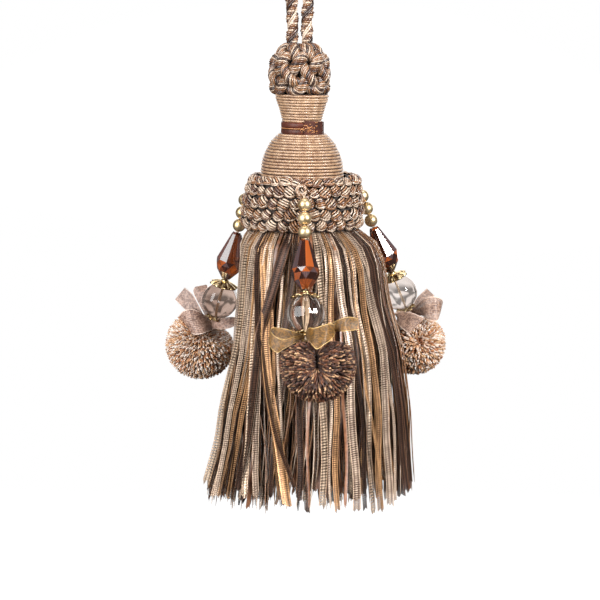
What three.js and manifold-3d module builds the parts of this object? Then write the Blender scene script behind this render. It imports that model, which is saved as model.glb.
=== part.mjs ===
// A key tassel that hangs by its cord loop. From the top: the loop, a woven ball knot,
// a cord-wound mold with a ribbon at its waist, a knotted collar, a skirt of ribbons,
// and three strings of beads, each ending in a bow and a pompom.
// Millimetres, +Z up, front at -Y, origin inside the top of the loop.
import * as THREE from "three";
import { mergeVertices } from "three/addons/utils/BufferGeometryUtils.js";
import Module from "manifold-3d";

const wasm = await Module();
wasm.setup();

// Driving dimensions. Heights are measured from the knot's top, which is 0, but the
// hanging cord's route is measured from the inside of its loop's top.
const GAP = 0.3; // between pieces that touch
const LOOP_HEIGHT = 64; // from the knot's top to the inside of the loop
const CORD = { radius: 2.0, valley: 1.62, plies: 4, lay: 12, stepsPerLay: 6 };
const KNOT = { x: -0.8, z: -8.1, radius: 8.1, height: 7.1, core: 7.0, cord: 1.75, weave: 0.75 };
const KNOT_FOOT = 0.15; // how little the knot draws in below its waist, from 0, straight, to 1
const WEAVE = { leads: 5, bights: 8, rise: 64, points: 640 }; // rise: degrees from its waist
const LEG_SEAT = 2.4; // from the knot's middle to each leg of the loop
const MOLD = { top: -16.3, waist: 5.9, base: 13.9, bottom: -52.1, segments: 24 };
const BAND = { top: -25.6, bottom: -29.5, outer: 6.9, edge: 6.75, crest: 1.0, groove: 6.7 };
const COLLAR = { knots: 30, rows: 5, bore: 18.9, shelf: -52.1, hem: -60.2 };
const KNOT_RAISE = { least: 0.8, most: 1.25, between: 0.4 }; // of the collar's knots
const HEAD = { radius: 17.7, top: -52.4, bottom: -59.8, segments: 32 };
const HEM = -150; // where the longest ribbons end
const FRAYED = 6; // how much shorter the shortest are
const RIBBON_HALF = 0.4; // half a skirt ribbon's thickness
const GOLD_BEAD = 2.1; // radius
const TEAR = { length: 16.8, top: 1.7, belly: 4.6, foot: 1.4, sides: 10 };
const GLASS = 6.2; // radius
const CAP = { radius: 4.9, petals: 8, thickness: 0.6, notch: 0.82, hub: 1.3, hubHeight: 0.3 };
const CAP_SEAT = GLASS + 0.45; // radius of a cap's hollow face
const BOW = { ribbon: 4.6, pinched: 1.6, thickness: 0.9, knot: 1.6, open: 1.7 };
const POMPOM = { core: 0.86, inset: 0.3, bare: 0.62 };

// The route of the hanging cord's middle, up from the knot, over the loop and back.
const LOOP_ROUTE = [
  { x: -3.2, z: -67.6 },
  { x: -3.2, z: -62 },
  { x: -3.2, z: -56 },
  { x: -3.3, z: -50 },
  { x: -3.5, z: -44 },
  { x: -4.0, z: -37 },
  { x: -5.0, z: -30 },
  { x: -6.5, z: -23 },
  { x: -8.1, z: -16 },
  { x: -9.4, z: -10 },
  { x: -9.2, z: -4.4 },
  { x: -7.0, z: -0.6 },
  { x: -3.8, z: 1.4 },
  { x: 0, z: 2.0 },
  { x: 3.8, z: 1.4 },
  { x: 7.0, z: -0.6 },
  { x: 9.2, z: -4.4 },
  { x: 9.3, z: -10 },
  { x: 7.8, z: -16 },
  { x: 5.8, z: -23 },
  { x: 4.1, z: -30 },
  { x: 2.9, z: -37 },
  { x: 2.2, z: -44 },
  { x: 1.9, z: -50 },
  { x: 1.7, z: -56 },
  { x: 1.6, z: -62 },
  { x: 1.6, z: -67.6 },
];

// The mold's outline, from the rim of its top to its base.
const MOLD_OUTLINE = [
  { r: 8.8, z: -16.3 },
  { r: 9.0, z: -17.0 },
  { r: 8.5, z: -18.8 },
  { r: 7.8, z: -20.9 },
  { r: 7.2, z: -23.0 },
  { r: 6.6, z: -25.2 },
  { r: 5.9, z: -25.4 },
  { r: 5.9, z: -29.7 },
  { r: 8.4, z: -30.2 },
  { r: 9.8, z: -31.4 },
  { r: 11.0, z: -32.9 },
  { r: 12.1, z: -34.9 },
  { r: 13.0, z: -37.0 },
  { r: 13.6, z: -39.6 },
  { r: 13.9, z: -43.5 },
];

// The collar's face under its knots, from its upper inner edge to its hem.
const COLLAR_FACE = [
  { r: 14.9, z: -43.6 },
  { r: 16.7, z: -43.7 },
  { r: 18.3, z: -46.0 },
  { r: 19.5, z: -50.0 },
  { r: 20.1, z: -54.0 },
  { r: 20.3, z: -58.0 },
  { r: 19.4, z: -60.8 },
];

// The skirt's outer radius at depths below its head, and how far its middle stands off
// to the right (+X) there.
const SKIRT_PROFILE = [
  { depth: 0, radius: 16.9, right: 0 },
  { depth: 1.6, radius: 17.8, right: 0 },
  { depth: 5, radius: 22.0, right: 1.6 },
  { depth: 12, radius: 23.4, right: 3.0 },
  { depth: 25, radius: 24.6, right: 3.6 },
  { depth: 40, radius: 27.4, right: 5.2 },
  { depth: 60, radius: 30.6, right: 4.4 },
  { depth: 71, radius: 31.5, right: 4.1 },
  { depth: 90, radius: 34.2, right: 2.4 },
];

// The skirt's rings of ribbons, from the outside in: share is of the outer radius, and
// depths are where a ribbon bends, below the skirt's head.
const SKIRT_RINGS = [
  { count: 38, share: 1.0, root: 2.25, hem: 4.3, depths: [-1.5, 1.6, 6, 26, 46] },
  { count: 28, share: 0.83, root: 2.4, hem: 4.6, depths: [-1.5, 6, 45] },
  { count: 18, share: 0.65, root: 2.6, hem: 5.0, depths: [-1.5, 6] },
  { count: 12, share: 0.44, root: 2.6, hem: 4.8, depths: [-1.5, 6] },
];

// The bead strings: bearing in degrees from the front towards +X, where the first bead
// is, how far each stretch leans outwards in degrees, and the pompom's radius, swing and
// crown, which is how high its top stands under the tie, as a share of its radius.
const STRINGS = [
  { name: "front", bearing: 2, r: 23.0, z: -51.2, beads: 16, glass: 20, end: 24, size: 12.6, swing: 5, crown: 0.45 },
  { name: "left", bearing: -123, r: 22.9, z: -52.6, beads: 15, glass: 17, end: 39, size: 12.2, swing: 0, crown: 0.6 },
  { name: "right", bearing: 118, r: 22.9, z: -51.2, beads: 22, glass: 24, end: 14, size: 10.8, swing: 0, crown: 1.0 },
];

// Where each bow's loops and tails end, from its knot: to the right, forward, and up
// along its string.
const BOWS = {
  front: [
    { kind: "loop", right: -12, forward: 3, up: 1.6 },
    { kind: "loop", right: 15.5, forward: 1, up: 4.5 },
    { kind: "tail", right: 9, forward: 6, up: 1.5 },
    { kind: "tail", right: -8, forward: 7.5, up: 1.5 },
  ],
  left: [
    { kind: "loop", right: -9.5, forward: 5, up: 0.9 },
    { kind: "loop", right: 8, forward: -1, up: 2.2 },
    { kind: "tail", right: -12.3, forward: -0.5, up: 3.4 },
    { kind: "tail", right: -8.5, forward: -8.5, up: 2.6 },
  ],
  right: [
    { kind: "loop", right: 13, forward: 3, up: 2.2 },
    { kind: "loop", right: -7, forward: -5, up: 1.5 },
    { kind: "tail", right: 3.5, forward: 8, up: 1.4 },
    { kind: "tail", right: 10.5, forward: -4, up: 6 },
  ],
};

// The corners of a strip's section, as shares of its half width and half thickness.
const CORNERS = [
  [-1, -1],
  [1, -1],
  [1, 1],
  [-1, 1],
];

const radians = THREE.MathUtils.degToRad;

// A fixed number from 0 to 1 that looks random.
function scatter(i, salt) {
  const x = Math.sin(i * 12.9898 + salt * 78.233) * 43758.5453;
  return x - Math.floor(x);
}

// A column of the skirt's profile at a depth, between its rows.
function skirtAt(column, depth) {
  const last = SKIRT_PROFILE.length - 1;
  const row = SKIRT_PROFILE.findIndex((one) => one.depth > depth);
  const [a, b] = [SKIRT_PROFILE[Math.max(0, row - 1)], SKIRT_PROFILE[row < 0 ? last : row]];
  const share = THREE.MathUtils.clamp((depth - a.depth) / (b.depth - a.depth), 0, 1);
  return a[column] + share * (b[column] - a[column]);
}

// A closed body through rings of points, all with as many points each. Its faces are
// split so that a twist from ring to ring, right-handed, leaves the ridges whole.
function loft(rings) {
  const sides = rings[0].length;
  const points = rings.flat();
  const faces = [];
  rings.slice(1).forEach((_, i) => {
    for (let k = 0; k < sides; k++) {
      const a = i * sides + k;
      const b = i * sides + ((k + 1) % sides);
      faces.push(a, b, a + sides, b, b + sides, a + sides);
    }
  });
  const last = (rings.length - 1) * sides;
  for (let k = 1; k + 1 < sides; k++) {
    faces.push(0, k + 1, k, last, last + k, last + k + 1);
  }
  const geometry = new THREE.BufferGeometry().setFromPoints(points).setIndex(faces);
  return facingOut(geometry);
}

// The geometry with its faces turned round if they point inwards.
function facingOut(geometry) {
  const [p, index] = [geometry.getAttribute("position"), geometry.index];
  const [a, b, c] = [new THREE.Vector3(), new THREE.Vector3(), new THREE.Vector3()];
  let volume = 0;
  for (let i = 0; i < index.count; i += 3) {
    a.fromBufferAttribute(p, index.getX(i));
    b.fromBufferAttribute(p, index.getX(i + 1));
    c.fromBufferAttribute(p, index.getX(i + 2));
    volume += a.dot(b.cross(c));
  }
  if (volume < 0) {
    for (let i = 0; i < index.count; i += 3) {
      const kept = index.getX(i + 1);
      index.setX(i + 1, index.getX(i + 2));
      index.setX(i + 2, kept);
    }
  }
  return geometry;
}

// A geometry with nothing but its points, and each of them once.
function mergedShape(geometry) {
  geometry.deleteAttribute("normal");
  geometry.deleteAttribute("uv");
  return mergeVertices(geometry, 1e-4);
}

// A geometry as a solid to cut and join.
function solidOf(geometry) {
  const merged = mergedShape(geometry);
  return new wasm.Manifold(
    new wasm.Mesh({
      numProp: 3,
      vertProperties: merged.getAttribute("position").array,
      triVerts: new Uint32Array(merged.index.array),
    }),
  );
}

function geometryOf(solid) {
  const mesh = solid.getMesh();
  const geometry = new THREE.BufferGeometry();
  geometry.setAttribute("position", new THREE.BufferAttribute(mesh.vertProperties, 3));
  geometry.setIndex(new THREE.BufferAttribute(mesh.triVerts, 1));
  return geometry;
}

function joined(geometries) {
  return geometryOf(geometries.map(solidOf).reduce((whole, next) => whole.add(next)));
}

// A body turned about Z from an outline that starts and ends on the axis or closes.
function turned(outline, segments) {
  const points = outline.map(({ r, z }) => new THREE.Vector2(r, z));
  return facingOut(mergedShape(new THREE.LatheGeometry(points, segments).rotateX(Math.PI / 2)));
}

// Moves each point of a geometry to where move(point) puts it.
function moved(geometry, move) {
  const p = geometry.getAttribute("position");
  const point = new THREE.Vector3();
  for (let i = 0; i < p.count; i++) {
    point.fromBufferAttribute(p, i);
    move(point);
    p.setXYZ(i, point.x, point.y, point.z);
  }
  return geometry;
}

function ball(radius, segments = 8, rings = 6) {
  const sphere = new THREE.SphereGeometry(radius, segments, rings).rotateX(Math.PI / 2);
  return facingOut(mergedShape(sphere));
}

// The hanging cord: its plies stand up as ridges that wind round it.
function cordLoop() {
  const route = new THREE.CatmullRomCurve3(LOOP_ROUTE.map(({ x, z }) => new THREE.Vector3(x, 0, z)));
  const length = route.getLength();
  const steps = Math.round((length / CORD.lay) * CORD.stepsPerLay);
  const across = new THREE.Vector3(0, 1, 0);
  const sides = CORD.plies * 2;
  const rings = [];
  for (let i = 0; i <= steps; i++) {
    const [centre, along] = [route.getPointAt(i / steps), route.getTangentAt(i / steps)];
    const out = new THREE.Vector3().crossVectors(across, along);
    const twist = (2 * Math.PI * i) / CORD.stepsPerLay;
    const ring = [];
    for (let k = 0; k < sides; k++) {
      const angle = (2 * Math.PI * k) / sides + twist;
      const radius = k % 2 ? CORD.valley : CORD.radius;
      ring.push(
        centre
          .clone()
          .addScaledVector(out, radius * Math.cos(angle))
          .addScaledVector(across, radius * Math.sin(angle)),
      );
    }
    rings.push(ring);
  }
  return loft(rings);
}

// How far over (1) or under (-1) its crossings the knot's cord runs at a share of its
// way. It is over at the first of each traverse's crossings, under at the next, and so on.
function weaveAt(share) {
  const { leads, bights } = WEAVE;
  const place = (share * 2 * leads * bights) % leads;
  if (place < 1) return Math.sin((Math.PI / 2) * place);
  if (place > leads - 1) return Math.sin((Math.PI / 2) * (place - leads));
  return Math.cos(Math.PI * (place - 1));
}

// Points along the knot's one cord, which winds round as many times as it has leads.
function knotCord() {
  return Array.from({ length: WEAVE.points }, (_, i) => {
    const share = i / WEAVE.points;
    const turn = 2 * Math.PI * WEAVE.leads * share;
    const rise = radians(WEAVE.rise) * Math.cos(2 * Math.PI * WEAVE.bights * share);
    const over = KNOT.weave * weaveAt(share);
    const wide = (KNOT.radius + over) * Math.cos(rise) ** (rise < 0 ? KNOT_FOOT : 1);
    const high = (KNOT.height + over) * Math.sin(rise);
    return new THREE.Vector3(wide * Math.cos(turn), wide * Math.sin(turn), high);
  });
}

// The ball knot: a sphere whose points are pushed out to the woven cord, with a seat
// for each leg of the loop.
function topKnot() {
  const cord = knotCord();
  const face = moved(ball(1, 44, 18), (point) => {
    const way = point.clone().normalize();
    let reach = KNOT.core;
    for (const centre of cord) {
      const along = centre.dot(way);
      const room = KNOT.cord ** 2 - centre.lengthSq() + along ** 2;
      if (along > 0 && room > 0) reach = Math.max(reach, along + Math.sqrt(room));
    }
    point.copy(way).multiplyScalar(reach);
  });
  const lowest = MOLD.top + GAP - KNOT.z;
  let solid = solidOf(face).trimByPlane([0, 0, 1], lowest);
  for (const side of [-1, 1]) {
    const seat = new THREE.CylinderGeometry(CORD.radius + GAP, CORD.radius + GAP, 8, 12);
    seat.rotateX(Math.PI / 2).translate(side * LEG_SEAT, 0, -KNOT.z);
    solid = solid.subtract(solidOf(seat));
  }
  return geometryOf(solid);
}

function woundMold() {
  return turned(
    [
      { r: 0, z: MOLD.top },
      ...MOLD_OUTLINE,
      { r: MOLD.base, z: MOLD.bottom },
      { r: 0, z: MOLD.bottom },
    ],
    MOLD.segments,
  );
}

// The waist ribbon: two turns side by side, with a groove between them.
function waistBand() {
  const inner = MOLD.waist + GAP;
  const middle = (BAND.top + BAND.bottom) / 2;
  const outline = [
    { r: inner, z: BAND.top },
    { r: BAND.edge, z: BAND.top },
    { r: BAND.outer, z: BAND.top - BAND.crest },
    { r: BAND.groove, z: middle },
    { r: BAND.outer, z: BAND.bottom + BAND.crest },
    { r: BAND.edge, z: BAND.bottom },
    { r: inner, z: BAND.bottom },
  ];
  return turned([...outline, outline[0]], MOLD.segments);
}

// The collar: a ring whose face is raised into rows of knots, each row half a knot
// further round than the one above.
function collar() {
  const face = new THREE.SplineCurve(COLLAR_FACE.map(({ r, z }) => new THREE.Vector2(r, z)));
  const steps = COLLAR.rows * 2;
  const faceAt = Array.from({ length: steps + 1 }, (_, i) => face.getPointAt(i / steps));
  const outline = [
    ...faceAt.map((p) => ({ r: p.x, z: p.y })),
    { r: COLLAR.bore, z: COLLAR.hem },
    { r: COLLAR.bore, z: COLLAR.shelf },
    { r: MOLD.base + GAP, z: COLLAR.shelf },
    { r: MOLD.base + GAP, z: COLLAR_FACE[0].z },
  ];
  const segments = COLLAR.knots * 2;
  const ring = turned([...outline, outline[0]], segments);
  return moved(ring, (point) => {
    const radius = Math.hypot(point.x, point.y);
    const step = faceAt.findIndex((p) => Math.hypot(p.x - radius, p.y - point.z) < 1e-3);
    if (step % 2 !== 1) return;
    const row = (step - 1) / 2;
    const place = Math.round((Math.atan2(point.y, point.x) / (2 * Math.PI)) * segments);
    const { least, most, between } = KNOT_RAISE;
    const raise = (place + row) % 2 ? between : least + (most - least) * scatter(place, row);
    point.x *= 1 + raise / radius;
    point.y *= 1 + raise / radius;
  });
}

function skirtRadius(depth, turn) {
  return skirtAt("radius", depth) + skirtAt("right", depth) * Math.cos(turn);
}

// One ribbon of the skirt, a flat strip that widens and swings a little on its way down.
function skirtRibbon(ring, layer, i) {
  const start = (2 * Math.PI * (i + 0.5 * (layer % 2))) / ring.count;
  const swing = 0.05 * Math.sin(3 * start + layer) + 0.03 * Math.sin(7 * start);
  const end = HEAD.bottom - HEM - FRAYED * scatter(i, layer);
  const fan = (scatter(i, layer + 9) - 0.5) * 0.5;
  const rings = [...ring.depths, end].map((depth) => {
    const share = Math.max(0, depth / end);
    const turn = start + swing * share;
    const radius = skirtRadius(depth, turn) * ring.share;
    const width = ring.root + (ring.hem - ring.root) * Math.min(1, share * 1.5);
    const out = new THREE.Vector3(Math.cos(turn), Math.sin(turn), 0);
    const side = new THREE.Vector3(-Math.sin(turn), Math.cos(turn), 0);
    side.addScaledVector(out, fan * share).normalize();
    const face = new THREE.Vector3(side.y, -side.x, 0);
    const centre = out.clone().multiplyScalar(radius).setZ(HEAD.bottom - depth);
    return CORNERS.map(([u, v]) =>
      centre
        .clone()
        .addScaledVector(side, (u * width) / 2)
        .addScaledVector(face, v * RIBBON_HALF),
    );
  });
  return loft(rings);
}

// The skirt: its ribbons and the head that they are sewn to, inside the collar.
function skirt() {
  const head = new THREE.CylinderGeometry(
    HEAD.radius,
    HEAD.radius,
    HEAD.top - HEAD.bottom,
    HEAD.segments,
  );
  head.rotateX(Math.PI / 2).translate(0, 0, (HEAD.top + HEAD.bottom) / 2);
  const ribbons = SKIRT_RINGS.flatMap((ring, layer) =>
    Array.from({ length: ring.count }, (_, i) => skirtRibbon(ring, layer, i)),
  );
  return joined([head, ...ribbons]);
}

// A faceted glass drop, hanging down from the origin: long facets to its belly, then
// two rings of short ones set between them.
function teardrop() {
  const rows = [
    { z: 0, r: TEAR.top, turn: 0 },
    { z: -0.62 * TEAR.length, r: TEAR.belly, turn: 0 },
    { z: -0.8 * TEAR.length, r: TEAR.belly * 0.86, turn: 0.5 },
    { z: -TEAR.length, r: TEAR.foot, turn: 1 },
  ];
  return loft(
    rows.map(({ z, r, turn }) =>
      Array.from({ length: TEAR.sides }, (_, k) => {
        const angle = (2 * Math.PI * (k + turn)) / TEAR.sides;
        return new THREE.Vector3(r * Math.cos(angle), r * Math.sin(angle), z);
      }),
    ),
  );
}

// How far the face of a ball of the given radius is above its middle, r off its axis.
function capHeight(ballRadius, r) {
  return Math.sqrt(ballRadius ** 2 - r ** 2);
}

// A petalled bead cap with a hub, which lies on a glass bead centred at the origin.
function beadCap() {
  const seat = CAP_SEAT;
  const top = seat + CAP.thickness;
  const [rim, half] = [CAP.radius, CAP.radius * 0.6];
  const outline = [
    { r: 0, z: seat },
    { r: half, z: capHeight(seat, half) },
    { r: rim, z: capHeight(seat, rim) },
    { r: rim, z: capHeight(seat, rim) + CAP.thickness },
    { r: half, z: capHeight(seat, half) + CAP.thickness },
    { r: CAP.hub, z: top },
    { r: CAP.hub, z: top + CAP.hubHeight },
    { r: 0, z: top + CAP.hubHeight },
  ];
  return moved(turned(outline, CAP.petals * 2), (point) => {
    const radius = Math.hypot(point.x, point.y);
    const betweenPetals = Math.cos(CAP.petals * Math.atan2(point.y, point.x)) < 0;
    if (radius < rim * 0.9 || !betweenPetals) return;
    point.x *= CAP.notch;
    point.y *= CAP.notch;
    point.z += capHeight(seat, radius * CAP.notch) - capHeight(seat, radius);
  });
}

// A strip of ribbon along points, upright, with its widths at even steps along them.
function ribbonStrip(points, widths) {
  const curve = new THREE.CatmullRomCurve3(points);
  const steps = widths.length - 1;
  const upright = new THREE.Vector3(0, 0, 1);
  const rings = widths.map((width, i) => {
    const [centre, along] = [curve.getPoint(i / steps), curve.getTangent(i / steps)];
    const across = new THREE.Vector3().crossVectors(along, upright).normalize();
    const up = new THREE.Vector3().crossVectors(across, along);
    return CORNERS.map(([u, v]) =>
      centre
        .clone()
        .addScaledVector(across, (u * BOW.thickness) / 2)
        .addScaledVector(up, (v * width) / 2),
    );
  });
  return loft(rings);
}

// A bow tied round its string at the origin: its knot, with the loops and tails that
// its rows list.
function bow(rows) {
  const strips = rows.map(({ kind, right, forward, up }) => {
    const at = (share, ahead, lift) =>
      new THREE.Vector3(right * share, -forward * share - ahead, up * lift);
    const { ribbon, pinched, open } = BOW;
    const gathered = (pinched + ribbon) / 2;
    if (kind === "tail") {
      const tail = [at(0.03, 0, 0), at(0.45, 0, 0.35), at(1, 0, 1)];
      return ribbonStrip(tail, [pinched, gathered, ribbon, ribbon]);
    }
    return ribbonStrip(
      [
        at(0.03, 0.2, 0),
        at(0.35, open, 0.35),
        at(0.8, open, 0.9),
        at(1, 0, 1),
        at(0.8, -open, 0.9),
        at(0.35, -open, 0.35),
        at(0.03, -0.2, 0),
      ],
      [pinched, gathered, ribbon, ribbon, ribbon, gathered, pinched],
    );
  });
  return joined([ball(BOW.knot), ...strips]);
}

// The height of a pompom's yarn after its tie has pressed it down, both as shares of
// the pompom's radius. It never passes the crown's height.
function settled(height, crown) {
  return height > 0 ? height / Math.cbrt(1 + (height / crown) ** 3) : height;
}

// A pompom: a ball pressed flat under its tie, whose faces are each raised into a lock
// of yarn ends, apart from those under the tie.
function pompom(radius, crown) {
  const core = new THREE.IcosahedronGeometry(1, 1);
  const p = core.getAttribute("position");
  const points = [];
  const faces = [];
  const add = (point, reach) => {
    const placed = point.clone().multiplyScalar(reach);
    placed.z = radius * settled(placed.z / radius, crown);
    return points.push(placed) - 1;
  };
  for (let i = 0; i < p.count; i += 3) {
    const corners = [0, 1, 2].map((k) => new THREE.Vector3().fromBufferAttribute(p, i + k));
    const middle = corners[0].clone().add(corners[1]).add(corners[2]).normalize();
    const roots = corners.map((corner) => add(corner, radius * POMPOM.core));
    if (middle.z > POMPOM.bare) {
      faces.push(...roots);
      continue;
    }
    const reach = radius * (1 - 0.1 * scatter(i, radius));
    const tips = corners.map((corner) => add(corner.clone().lerp(middle, POMPOM.inset), reach));
    for (let k = 0; k < 3; k++) {
      const next = (k + 1) % 3;
      faces.push(roots[k], roots[next], tips[k], roots[next], tips[next], tips[k]);
    }
    faces.push(...tips);
  }
  const geometry = new THREE.BufferGeometry().setFromPoints(points).setIndex(faces);
  return facingOut(mergedShape(geometry));
}

const finish = {
  cord: new THREE.MeshStandardMaterial({ color: 0xa88567, roughness: 0.6 }),
  gimp: new THREE.MeshStandardMaterial({ color: 0xc8a27a, roughness: 0.45 }),
  band: new THREE.MeshStandardMaterial({ color: 0x5a3322, roughness: 0.4 }),
  ribbon: new THREE.MeshStandardMaterial({ color: 0x8b6c54, roughness: 0.5 }),
  gold: new THREE.MeshStandardMaterial({ color: 0xcdb070, roughness: 0.35, metalness: 1 }),
  amber: new THREE.MeshStandardMaterial({ color: 0x8a4a24, roughness: 0.05 }),
  glass: new THREE.MeshStandardMaterial({ color: 0xd8d0c8, roughness: 0.03 }),
  organza: new THREE.MeshStandardMaterial({ color: 0xa88c72, roughness: 0.5 }),
  yarn: new THREE.MeshStandardMaterial({ color: 0x8f6c54, roughness: 0.9 }),
};

function piece(name, geometry, material) {
  const mesh = new THREE.Mesh(geometry, material);
  mesh.name = name;
  return mesh;
}

// One string: its pieces follow each other down from the first bead.
function beadString({ name, bearing, r, z, beads, glass, end, size, swing, crown }) {
  const string = new THREE.Group();
  const place = { r, z, turn: radians(bearing - 90) };
  const walk = (lean, distance) => {
    place.r += distance * Math.sin(radians(lean));
    place.z -= distance * Math.cos(radians(lean));
  };
  const hang = (mesh, lean) => {
    mesh.position.set(place.r * Math.cos(place.turn), place.r * Math.sin(place.turn), place.z);
    mesh.rotation.set(0, -radians(lean), place.turn, "ZYX");
    string.add(mesh);
  };
  for (let i = 1; i <= 3; i++) {
    hang(piece(`${name}_gold_bead_${i}`, ball(GOLD_BEAD), finish.gold), beads);
    if (i < 3) walk(beads, 2 * GOLD_BEAD + GAP);
  }
  walk(glass, GOLD_BEAD + GAP);
  hang(piece(`${name}_teardrop`, teardrop(), finish.amber), glass);
  const capTop = CAP_SEAT + CAP.thickness + CAP.hubHeight;
  walk(glass, TEAR.length + GAP + capTop);
  hang(piece(`${name}_glass_bead`, ball(GLASS, 14, 10), finish.glass), glass);
  hang(piece(`${name}_upper_cap`, beadCap(), finish.gold), glass);
  hang(piece(`${name}_lower_cap`, beadCap().rotateX(Math.PI), finish.gold), glass);
  walk(glass, capTop + GAP + BOW.knot);
  const tie = piece(`${name}_bow`, bow(BOWS[name]), finish.organza);
  hang(tie, 0);
  const along = new THREE.Vector3(-Math.sin(place.turn), Math.cos(place.turn), 0);
  tie.quaternion.setFromAxisAngle(along, -radians((glass + end) / 2));
  walk(end, BOW.knot + GAP + size * settled(POMPOM.core, crown));
  place.turn += radians(swing);
  hang(piece(`${name}_pompom`, pompom(size, crown), finish.yarn), end);
  return string;
}

const tassel = new THREE.Group();
tassel.position.z = -LOOP_HEIGHT;
const knot = piece("ball_knot", topKnot(), finish.cord);
knot.position.set(KNOT.x, 0, KNOT.z);
tassel.add(
  knot,
  piece("wound_mold", woundMold(), finish.gimp),
  piece("waist_band", waistBand(), finish.band),
  piece("collar", collar(), finish.cord),
  piece("skirt", skirt(), finish.ribbon),
  ...STRINGS.map(beadString),
);

const part = new THREE.Group();
part.add(piece("hanging_cord", cordLoop(), finish.cord), tassel);
export default part;
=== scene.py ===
import math

import bpy
import numpy as np
from mathutils import Matrix, Vector

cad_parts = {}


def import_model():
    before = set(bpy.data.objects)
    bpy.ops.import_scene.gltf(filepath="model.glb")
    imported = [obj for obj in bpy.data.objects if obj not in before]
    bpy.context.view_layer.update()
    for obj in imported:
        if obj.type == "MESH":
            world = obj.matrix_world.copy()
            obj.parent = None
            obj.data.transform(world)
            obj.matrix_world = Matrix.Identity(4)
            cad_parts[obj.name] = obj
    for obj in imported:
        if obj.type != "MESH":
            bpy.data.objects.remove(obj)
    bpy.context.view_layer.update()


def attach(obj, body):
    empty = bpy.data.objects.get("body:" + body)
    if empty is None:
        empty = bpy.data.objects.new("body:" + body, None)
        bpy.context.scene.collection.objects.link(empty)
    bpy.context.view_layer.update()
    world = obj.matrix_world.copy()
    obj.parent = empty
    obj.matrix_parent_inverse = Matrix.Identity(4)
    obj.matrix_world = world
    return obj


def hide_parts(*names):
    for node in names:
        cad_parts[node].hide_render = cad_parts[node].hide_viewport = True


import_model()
seeded = np.random.default_rng

# Lengths are in millimetres up to the meshes. Heights in the tassel are from the
# knot's top, and those of the hanging cord's route from the inside of its loop.
MM = 0.001
UP = (0, 0, 1)
LOOP_HEIGHT = 64
CORD = {"ply": 1.02, "lay": 12}
KNOT = {"x": -0.8, "z": -8.1, "radius": 8.0, "height": 7.0, "core": 6.8, "weave": 0.95, "foot": 0.15}
WEAVE = {"leads": 5, "bights": 8, "rise": 64}
GIMP = 0.52
MOLD_INSET = 0.7
BAND = {"radius": 6.95, "middle": -27.5, "dip": 0.12}
COLLAR = {"knots": 30, "rows": 5}
# How far the collar's upper rows stand out at the right, from what height, and over what rise.
COLLAR_STAND = {"reach": 1.9, "from": -52, "rise": 8}
FRONT_RING = {"x": -0.2, "y": -19.4, "z": -46.8, "radius": 1.45, "depth": 0.6}
SKIRT_TOP = -59.8
SKIRT_HEM = -150
STRAND = {"points": 26, "shortfall": 12, "locks": 17}
GOLD_BEAD = 2.2
BEAD_STEP = 4.5
TEAR = {"length": 16.8, "top": 1.7, "belly": 4.6, "foot": 1.4, "sides": 10}
GLASS = 6.2
MELON_LOBES = 8
CAP = {"seat": 6.65, "radius": 4.9, "petals": 8, "thickness": 0.6, "hub": 0.3}
GAP = 0.3
BOW_KNOT = 1.6
POMPOM_YARNS = 3000
POMPOM_CORE = 0.86
# The focal length is in pixels of the picture, and the tilt in degrees.
CAMERA = {"focal": 2932, "picture": 600, "sensor": 36, "place": (-0.67, -970, -33), "tilt": -6.82}

LOOP_ROUTE = [
    (-3.2, -67.6), (-3.2, -62), (-3.2, -56), (-3.3, -50), (-3.5, -44), (-4, -37), (-5, -30),
    (-6.5, -23), (-8.1, -16), (-9.4, -10), (-9.2, -4.4), (-7, -0.6), (-3.8, 1.4), (0, 2),
    (3.8, 1.4), (7, -0.6), (9.2, -4.4), (9.3, -10), (7.8, -16), (5.8, -23), (4.1, -30),
    (2.9, -37), (2.2, -44), (1.9, -50), (1.7, -56), (1.6, -62), (1.6, -67.6),
]
# Columns of the outlines: radius, height.
NECK_OUTLINE = [(8.6, -16.3), (9, -17), (8.5, -18.8), (7.8, -20.9), (7.2, -23), (6.6, -25.4)]
DOME_OUTLINE = [
    (7.6, -29.6), (8.6, -30.2), (9.8, -31.4), (11, -32.9), (12.1, -34.9), (13, -37),
    (13.6, -39.6), (13.9, -43.5), (13.9, -45.5),
]
COLLAR_FACE = [
    (14.9, -43.6), (16.7, -43.7), (18.3, -46), (19.5, -50), (20.1, -54), (20.3, -58),
    (19.4, -60.8),
]
# Columns: depth below the skirt's head, outer radius, how far its middle stands to the right.
SKIRT_PROFILE = np.array([
    (-2, 16.9, 0), (0, 16.9, 0), (1.6, 17.8, 0), (5, 22, 1.6), (12, 23.4, 3), (25, 24.6, 3.6),
    (40, 27.4, 5.2), (60, 30.6, 4.4), (71, 31.5, 4.1), (90, 34.2, 2.4),
])
# Columns: bearing, radius and height of the first bead, lean of the gold beads, of the glass and of
# the pompom, the pompom's radius, how far it swings round, its crown's height as a share of it.
STRINGS = {
    "front": (2, 23.0, -51.2, 16, 20, 24, 12.6, 5, 0.45),
    "left": (-123, 22.9, -52.6, 15, 17, 39, 12.2, 0, 0.6),
    "right": (118, 22.9, -51.2, 22, 24, 14, 10.8, 0, 1.0),
}
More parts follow.
